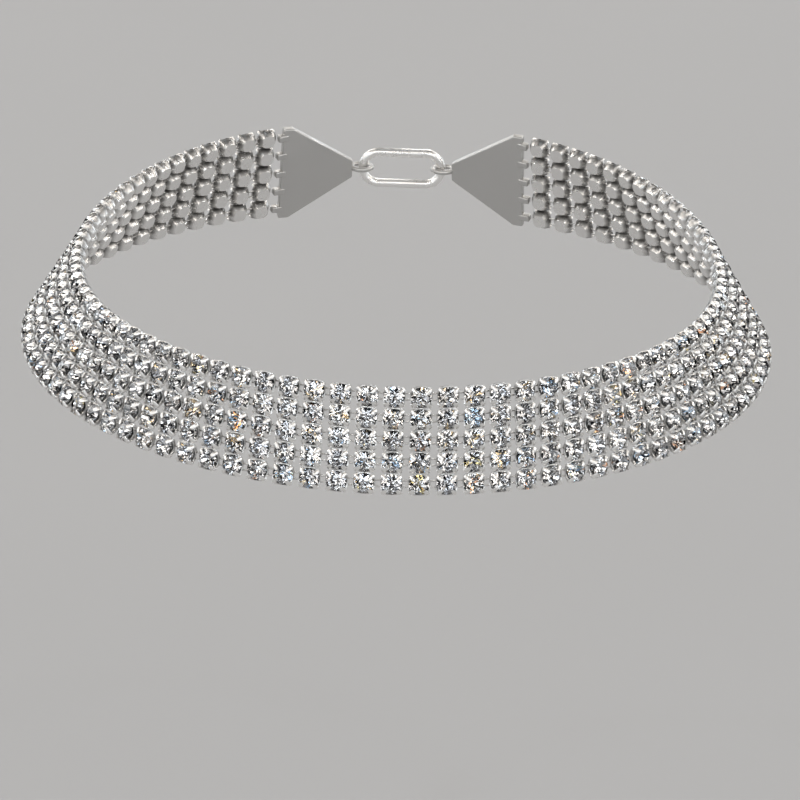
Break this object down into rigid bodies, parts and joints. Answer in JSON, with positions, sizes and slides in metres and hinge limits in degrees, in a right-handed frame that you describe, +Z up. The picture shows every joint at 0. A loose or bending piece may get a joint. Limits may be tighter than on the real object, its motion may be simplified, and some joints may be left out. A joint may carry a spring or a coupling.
{
  "type": "crystal choker necklace",
  "caption": "Flared choker necklace: rows of round crystals in silver cup settings, soldered into columns and linked into a supple band, with end plates and a plain clasp behind.",
  "frame": {"origin": "middle of the loop, on the neck's axis, level with the middle row of stones", "axes": "+Z up along the neck, -Y towards the front of the neck, +X to the right as seen from the front"},
  "size_m": [0.1138, 0.1191, 0.0162],
  "materials": {
    "crystal": "clear cut glass with a mirrored back",
    "silver": "polished silver-tone plating"
  },
  "bodies": {
    "root": {"stone_band_left": "crystal", "stone_band_right": "crystal", "end_plate_left": "silver", "end_plate_right": "silver", "clasp": "silver"}
  },
  "joints": []
}
